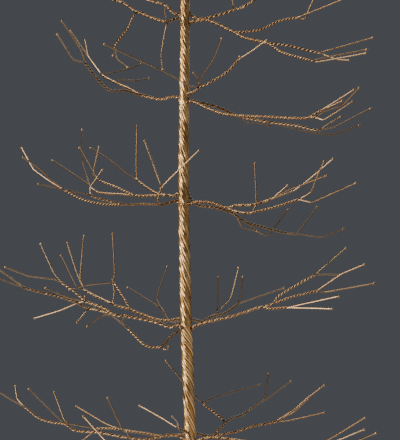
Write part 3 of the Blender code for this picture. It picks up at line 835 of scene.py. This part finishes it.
def mix_colours(tree, share, first, second):
    """Mix two colours, each a colour or the output of a node."""
    made = add_node(tree, "ShaderNodeMix", data_type="RGBA")
    tree.links.new(share, made.inputs["Factor"])
    for number, colour in ((6, first), (7, second)):
        if isinstance(colour, tuple):
            made.inputs[number].default_value = colour
        else:
            tree.links.new(colour, made.inputs[number])
    return made.outputs[2]


def attribute_of(tree, name):
    """Return a number that is stored on the mesh."""
    return add_node(tree, "ShaderNodeAttribute", attribute_name=name).outputs["Fac"]


def new_material(name):
    """Return a new material, its node tree and its shader."""
    material = bpy.data.materials.new(name)
    material.use_nodes = True
    return material, material.node_tree, material.node_tree.nodes["Principled BSDF"]


def own_coordinates(tree):
    """Return the object's own coordinates, which stay the same when the piece is moved."""
    return add_node(tree, "ShaderNodeTexCoord").outputs["Object"]


def lacquer(tree, shader, colour, grain, rough, bump, coat):
    """Make a shader lacquered metal whose roughness and bump follow a fine grain.

    Roughness is given as (least, most), bump as (strength, distance) and coat as (weight, roughness).
    """
    tree.links.new(colour, shader.inputs["Base Color"])
    tree.links.new(spread_of(tree, grain, *GRAIN_SPREAD, *rough), shader.inputs["Roughness"])
    relief = add_node(tree, "ShaderNodeBump", {"Strength": bump[0], "Distance": bump[1]})
    tree.links.new(grain, relief.inputs["Height"])
    tree.links.new(relief.outputs["Normal"], shader.inputs["Normal"])
    shader.inputs["Metallic"].default_value = 1.0
    shader.inputs["Coat Weight"].default_value, shader.inputs["Coat Roughness"].default_value = coat


# %% Gold wire
BRIGHT_GOLD = (0.455, 0.30, 0.16, 1.0)
DEEP_GOLD = (0.28, 0.162, 0.075, 1.0)
TARNISH = (0.22, 0.105, 0.035, 1.0)
# Painted shade: the colour that the wire is darkened towards between the wires and in the trunk's grooves.
PAINTED_CREVICE_SHADE = (0.05, 0.018, 0.006, 1.0)
TRUNK_BRIGHT = (1.0, 0.68, 0.31, 1.0)
TRUNK_DEEP = (0.62, 0.33, 0.11, 1.0)
WIRE_PATCHES = (55.0, 3.0, 0.55)
WIRE_PATCH_SPREAD = (0.35, 0.65)
WIRE_SPECKS = (200.0, 2.0, 0.5)
WIRE_BUMP = (0.15, 0.00004)
WIRE_COAT = (0.35, 0.18)
TARNISH_SPREAD = (0.45, 1.0, 0.0, 0.6)
# How far the painted shade goes towards its colour at the deepest.
DARKEST = 0.95


def gold_wire(name, bright, deep, dark, rough):
    """Return the finish of lacquered brass wire between a bright and a deep gold.

    Painted shade darkens it between two depths, and its roughness lies between two values.
    """
    material, tree, shader = new_material(name)
    place = own_coordinates(tree)
    patches = spread_of(tree, noise_of(tree, place, *WIRE_PATCHES), *WIRE_PATCH_SPREAD)
    specks = noise_of(tree, place, *WIRE_SPECKS)
    depth = attribute_of(tree, "depth")
    base = mix_colours(tree, attribute_of(tree, "tint"), bright, deep)
    aged = mix_colours(tree, spread_of(tree, patches, *TARNISH_SPREAD), base, TARNISH)
    # Painted shade: the deeper a point lies in the twist, the nearer its colour comes to near black.
    colour = mix_colours(tree, spread_of(tree, depth, *dark, 0.0, DARKEST), aged, PAINTED_CREVICE_SHADE)
    lacquer(tree, shader, colour, specks, rough, WIRE_BUMP, WIRE_COAT)
    return material


branch_gold = gold_wire("branch_gold", BRIGHT_GOLD, DEEP_GOLD, (0.12, 0.56), (0.20, 0.28))
trunk_gold = gold_wire("trunk_gold", TRUNK_BRIGHT, TRUNK_DEEP, (0.0, 1.0), (0.26, 0.36))
print("wire finishes:", branch_gold.name, trunk_gold.name)

# %% [markdown]
# ## The branches
#
# Each branch is one piece and stands for one node of the construction. A branch can then be taken off or
# bent without touching its neighbours.


# %% Make the branches
def take_place(piece, node):
    """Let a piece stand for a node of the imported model."""
    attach(piece, "root")
    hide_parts(node)


triangles = 0
for number, name in enumerate(BRANCHES):
    piece = make_wire_piece(name + "_wires", lay_branch(place_branch(name)), branch_gold, number)
    take_place(piece, name)
    triangles += sum(len(face.vertices) - 2 for face in piece.data.polygons)
print(len(BRANCHES), "branches with", triangles, "triangles")

# %% [markdown]
# ## The trunk
#
# The trunk is a rope laid left-handed from six thick strands, every other one a little higher. Each
# strand splits into two rounded ridges, so soft grooves run round the rope, strong and faint in turn, and
# fade and deepen along it. The grooves are shallow cuts, darkened with painted shade. The wires of a ridge
# were pressed together so hard that they show as one. Real wire wanders: the ridges drift too, by a
# fraction of a millimetre, and the lay tightens where the rope was wound hard, below the second tier.
#
# Twelve tubes side by side would cross, and leave ragged seams. So the rope is one skin: a flat grid is
# wrapped round the trunk, its columns follow the lay, and each row takes the outline of the twelve ridges
# at its height. The grooves then follow the columns without a break.

# %% The outline of the rope
RIDGES = 2 * TRUNK_STRANDS
RIDGE_COLUMNS = 10
ROW_HEIGHT = 1.2
RIDGE_RELIEF = 0.12
STRAND_RISE = 0.08
PAIR_CLOSED = 0.06
CREST_DRIFT = 0.10
SIDE_DRIFT = 0.4
DRIFT_LENGTH = 22.0
DRIFT_GAIN = 1.6
ROWS_APART = (7.31, 1.77)
SIDE_ROWS = 60.0
GROOVE_ROWS = 90.0
# Each groove is (depth of its cut in mm, darkness of its painted shade).
FAINT_GROOVE = (0.15, 0.24)
STRONG_GROOVE = (0.36, 0.58)
GROOVE_VARIES = 0.8
GROOVE_NARROW = 3
TIGHT_FROM, TIGHT_TO, TIGHT_TURN = 148.0, 190.0, 0.42
END_DIVE = 10.0
END_SHARE = 0.5
GROOVE_ANGLE = 32.0
ROPE_SEED = 101


def trunk_turn(height):
    """Return how far the rope has turned at a height, with a tighter stretch below the second tier."""
    tight = TIGHT_TURN * blend((height - TIGHT_FROM) / (TIGHT_TO - TIGHT_FROM))
    return HAND * 2.0 * math.pi * (height / TWIST_LENGTH + tight)


def drift(height, row):
    """Return a slow drift between about -1 and 1, which runs its own course in each row of the noise."""
    place = Vector((height / DRIFT_LENGTH, row * ROWS_APART[0], row * ROWS_APART[1]))
    return DRIFT_GAIN * noise.noise(place)


def ridge_at(number, height):
    """Return the bearing and reach of a ridge's crest. The two ridges of a strand lie closer together."""
    row = number % RIDGES
    reach = read_line(TRUNK_RADIUS, height) + RIDGE_RELIEF + CREST_DRIFT * drift(height, row)
    reach += STRAND_RISE * (-1) ** (row // 2)
    turns = (number + PAIR_CLOSED * (-1) ** row) / RIDGES
    shift = SIDE_DRIFT * drift(height, row // 2 + SIDE_ROWS) / reach
    return trunk_turn(height) + 2.0 * math.pi * turns + shift, reach


def rope_row(height):
    """Return the skin of the rope at a height, as (bearing, reach, painted shade, ridge) for each column."""
    ridges = [ridge_at(number, height) for number in range(RIDGES + 1)]
    row = []
    for number, (here, there) in enumerate(zip(ridges, ridges[1:])):
        cut, darkness = STRONG_GROOVE if number % 2 else FAINT_GROOVE
        strength = 1.0 + GROOVE_VARIES * drift(height, number + GROOVE_ROWS)
        for column in range(RIDGE_COLUMNS):
            share = column / RIDGE_COLUMNS
            groove = strength * math.sin(math.pi * share) ** 2
            reach = here[1] + (there[1] - here[1]) * blend(share) - cut * groove
            bearing = here[0] + (there[0] - here[0]) * share
            # Painted shade, darkest in the middle of the groove.
            painted = darkness * strength * math.sin(math.pi * share) ** (2 * GROOVE_NARROW)
            row.append((bearing, reach, painted, (number + round(share)) % RIDGES))
    return row + [(row[0][0] + 2.0 * math.pi, *row[0][1:])]


# %% Wrap the skin round the trunk
def make_rope(material):
    """Make the trunk from a grid wrapped round it, and mark its grooves' painted shade and its ridges' tints
    for the finish.
    """
    bottom = PLINTH_HEIGHT + GAP
    levels = round((TRUNK_TOP - bottom) / ROW_HEIGHT)
    columns = RIDGES * RIDGE_COLUMNS
    rows = [rope_row(bottom + (TRUNK_TOP - bottom) * level / levels) for level in range(levels + 1)]
    draw = random.Random(ROPE_SEED)
    tints = [draw.random() for _ in range(RIDGES)]
    shape = bmesh.new()
    # The depth layer holds the painted shade of the grooves, not a real depth.
    depth = shape.verts.layers.float.new("depth")
    tint = shape.verts.layers.float.new("tint")
    bmesh.ops.create_grid(shape, x_segments=columns, y_segments=levels, size=0.5)
    for vertex in shape.verts:
        column = round((vertex.co.x + 0.5) * columns)
        level = round((vertex.co.y + 0.5) * levels)
        height = bottom + (TRUNK_TOP - bottom) * level / levels
        bearing, reach, vertex[depth], ridge = rows[level][column]
        vertex[tint] = tints[ridge]
        closing = 1.0 - END_SHARE * blend((height - TRUNK_TOP + END_DIVE) / END_DIVE)
        vertex.co = around_trunk(height, bearing, reach * closing) * MM
    bmesh.ops.remove_doubles(shape, verts=shape.verts, dist=WELD_DISTANCE * MM)
    bmesh.ops.holes_fill(shape, edges=shape.edges, sides=columns)
    return finish_piece("trunk_rope", shape, bpy.data.meshes.new("trunk_rope"), material, GROOVE_ANGLE)


trunk = make_rope(trunk_gold)
take_place(trunk, "trunk")
print("the trunk has", len(trunk.data.polygons), "faces")

# %% [markdown]
# ## The crown
#
# At the top the last wires open like a small bunch of twigs. They come out of the middle of the rope, so
# that no cut end shows.

# %% Make the crown
CROWN_WIRES = 5
CROWN_FORK = 8.0
CROWN_LENGTH = 42.0
CROWN_SPREAD = 15.0
CROWN_BEND = (0.45, 0.35)
CROWN_SPREAD_VARIES = 0.5
CROWN_SPREAD_WAVE = 2.0
CROWN_LENGTH_VARIES = 0.15
CROWN_LENGTH_WAVE = 3.0
CROWN_SUNK = 18.0
CROWN_SEED = 102


def place_crown():
    """Return the crown as a limb in space that forks into all its wires."""
    base = trunk_axis(TRUNK_TOP - CROWN_SUNK)
    fork = trunk_axis(TRUNK_TOP + CROWN_FORK)
    bend_out, bend_rise = CROWN_BEND
    forks = []
    for number in range(CROWN_WIRES):
        bearing = 2.0 * math.pi * number / CROWN_WIRES
        spread = CROWN_SPREAD * (1.0 + CROWN_SPREAD_VARIES * math.sin(CROWN_SPREAD_WAVE * number))
        length = CROWN_LENGTH * (1.0 - CROWN_LENGTH_VARIES * (1.0 - math.cos(CROWN_LENGTH_WAVE * number)))
        side = Vector((math.cos(bearing), math.sin(bearing), 0.0))
        bend = fork + side * spread * bend_out + Vector((0.0, 0.0, length * bend_rise))
        tip = fork + side * spread + Vector((0.0, 0.0, length))
        forks.append({"points": [fork, bend, tip], "forks": [], "wires": 1, "coiled": False})
    stem = [base, trunk_axis(TRUNK_TOP), fork]
    return {"points": stem, "forks": forks, "wires": CROWN_WIRES, "coiled": False}


crown = make_wire_piece("crown_wires", lay_branch(place_crown()), branch_gold, CROWN_SEED)
take_place(crown, "crown")

# %% [markdown]
# ## The plinth
#
# The plinth is a turned disc. A turned thing is one outline spun about its axis, so a line of points runs
# up the side, round the edge and in over the gently crowned top, and is then spun once round.

# %% Make the plinth
PLINTH_STEPS = 160
EDGE_STEPS = 10
FOOT_CHAMFER = 0.6
TOP_CROWN = 0.5
GROOVE_RADIUS = 52.0
GROOVE_WIDTH = 1.2
GROOVE_DEPTH = 0.5
GROOVE_LIFT = 0.1
PLINTH_ANGLE = 35.0


def plinth_outline():
    """Return the plinth's outline as (distance from the axis, height), from foot to middle of the top."""
    radius = PLINTH_DIAMETER / 2.0
    rounding = PLINTH_EDGE_ROUNDING
    outline = [(0.0, 0.0), (radius - FOOT_CHAMFER, 0.0), (radius, FOOT_CHAMFER)]
    shoulder = PLINTH_HEIGHT - TOP_CROWN
    for step in range(EDGE_STEPS + 1):
        angle = math.pi / 2.0 * step / EDGE_STEPS
        outward = radius - rounding + rounding * math.cos(angle)
        outline.append((outward, shoulder - rounding + rounding * math.sin(angle)))
    for widths, drop in ((1.0, 0.0), (0.5, GROOVE_DEPTH), (-0.5, GROOVE_DEPTH), (-1.0, 0.0)):
        outline.append((GROOVE_RADIUS + GROOVE_WIDTH * widths, shoulder + GROOVE_LIFT - drop))
    outline.append((GROOVE_RADIUS / 2.0, PLINTH_HEIGHT - TOP_CROWN / 4.0))
    outline.append((0.0, PLINTH_HEIGHT))
    return outline


def make_plinth(material):
    """Spin the plinth's outline into a closed turned disc."""
    shape = bmesh.new()
    line = [shape.verts.new((distance * MM, 0.0, height * MM)) for distance, height in plinth_outline()]
    edges = [shape.edges.new(pair) for pair in zip(line, line[1:])]
    bmesh.ops.spin(shape, geom=line + edges, cent=(0.0, 0.0, 0.0), axis=(0.0, 0.0, 1.0),
                   angle=2.0 * math.pi, steps=PLINTH_STEPS, use_merge=True)
    bmesh.ops.remove_doubles(shape, verts=shape.verts, dist=WELD_DISTANCE * MM)
    return finish_piece("plinth_disc", shape, bpy.data.meshes.new("plinth_disc"), material, PLINTH_ANGLE)


# %% Cast metal under gold lacquer
CAST_BRIGHT = (0.62, 0.37, 0.13, 1.0)
CAST_DEEP = (0.38, 0.20, 0.06, 1.0)
CAST_PATCHES = (28.0, 4.0, 0.6)
CAST_PATCH_SPREAD = (0.35, 0.68)
CAST_GRAIN = (700.0, 3.0, 0.65)
CAST_ROUGHNESS = (0.30, 0.52)
CAST_BUMP = (0.35, 0.0002)
CAST_COAT = (0.3, 0.25)


def gold_plinth():
    """Return the finish of the plinth: gold lacquer on cast metal, browner in patches."""
    material, tree, shader = new_material("plinth_gold")
    place = own_coordinates(tree)
    patches = spread_of(tree, noise_of(tree, place, *CAST_PATCHES), *CAST_PATCH_SPREAD)
    grain = noise_of(tree, place, *CAST_GRAIN)
    colour = mix_colours(tree, patches, CAST_BRIGHT, CAST_DEEP)
    lacquer(tree, shader, colour, grain, CAST_ROUGHNESS, CAST_BUMP, CAST_COAT)
    return material


plinth = make_plinth(gold_plinth())
take_place(plinth, "plinth")
print("the plinth has", len(plinth.data.polygons), "faces")

# %% [markdown]
# ## Floor, light and camera
#
# The floor is a plain pale disc, and the surroundings are an even dark grey, so that both the pale glints
# and the brown gaps of the wire stand out. Three soft lights stand at the front left, one above the
# other, where the highlights on the trunk come from. Weaker ones stand overhead, at both sides, behind
# the tree and at the front right. The camera looks level at the tree from some way off with a long lens.

# %% Floor
FLOOR_RADIUS = 0.6
FLOOR_SIDES = 128
FLOOR_COLOUR = (0.78, 0.77, 0.75, 1.0)
FLOOR_ROUGHNESS = 0.8


def make_floor():
    """Make the plain pale floor that the tree stands on."""
    shape = bmesh.new()
    bmesh.ops.create_circle(shape, cap_ends=True, segments=FLOOR_SIDES, radius=FLOOR_RADIUS)
    mesh = bpy.data.meshes.new("floor")
    shape.to_mesh(mesh)
    shape.free()
    material, _, shader = new_material("floor_finish")
    shader.inputs["Base Color"].default_value = FLOOR_COLOUR
    shader.inputs["Roughness"].default_value = FLOOR_ROUGHNESS
    mesh.materials.append(material)
    floor = bpy.data.objects.new("floor", mesh)
    bpy.context.scene.collection.objects.link(floor)


make_floor()

# %% Lights
LIGHT_TARGET = (0.0, 0.0, 0.28)
SURROUNDINGS = (0.066, 0.070, 0.078, 1.0)
LIGHTS = (
    ("tall_light", (-1.55, -1.15, 0.3), 0.7, 1.6, 30.0, (1.0, 0.94, 0.83)),
    ("key_light", (-1.5, -0.85, 1.3), 0.7, 0.8, 21.0, (1.0, 0.94, 0.82)),
    ("high_light", (-0.5, -1.1, 1.7), 0.7, 0.7, 15.0, (1.0, 0.95, 0.85)),
    ("top_light", (0.1, 0.35, 2.2), 1.6, 1.2, 6.0, (1.0, 0.94, 0.84)),
    ("left_light", (-1.9, 0.2, 0.7), 1.5, 1.5, 2.1, (1.0, 0.94, 0.84)),
    ("right_light", (1.9, 0.2, 0.7), 1.5, 1.5, 1.4, (1.0, 0.94, 0.84)),
    ("fill_light", (1.5, -1.3, 0.5), 1.6, 1.6, 2.0, (1.0, 0.95, 0.88)),
    ("back_light", (0.5, 1.8, 1.0), 1.4, 1.2, 6.0, (1.0, 0.95, 0.86)),
)


def add_light(name, place, width, height, power, colour):
    """Add a soft rectangular light that points at the middle of the tree."""
    data = bpy.data.lights.new(name, "AREA")
    data.shape = "RECTANGLE"
    data.size = width
    data.size_y = height
    data.energy = power
    data.color = colour
    light = bpy.data.objects.new(name, data)
    light.location = place
    light.rotation_euler = (Vector(LIGHT_TARGET) - Vector(place)).to_track_quat("-Z", "Y").to_euler()
    bpy.context.scene.collection.objects.link(light)


for light_row in LIGHTS:
    add_light(*light_row)
print(len(LIGHTS), "lights")
surroundings = bpy.data.worlds.new("surroundings")
surroundings.use_nodes = True
surroundings.node_tree.nodes["Background"].inputs["Color"].default_value = SURROUNDINGS
surroundings.node_tree.nodes["Background"].inputs["Strength"].default_value = 1.0
bpy.context.scene.world = surroundings

# %% Camera
SENSOR = 36.0
VIEW_HEIGHT = 316.8
NEAREST, FARTHEST = 0.05, 50.0


def add_camera():
    """Put the camera level, where the routes were read from, with a lens that frames the same stretch."""
    data = bpy.data.cameras.new("camera")
    data.sensor_width = SENSOR
    data.lens = SENSOR * VIEW_DISTANCE / VIEW_HEIGHT
    data.clip_start = NEAREST
    data.clip_end = FARTHEST
    camera = bpy.data.objects.new("camera", data)
    camera.location = (EYE_X * MM, -VIEW_DISTANCE * MM, EYE_HEIGHT * MM)
    camera.rotation_euler = (math.radians(90.0), 0.0, 0.0)
    bpy.context.scene.collection.objects.link(camera)
    bpy.context.scene.camera = camera
    print("lens:", round(data.lens, 1), "mm")


add_camera()
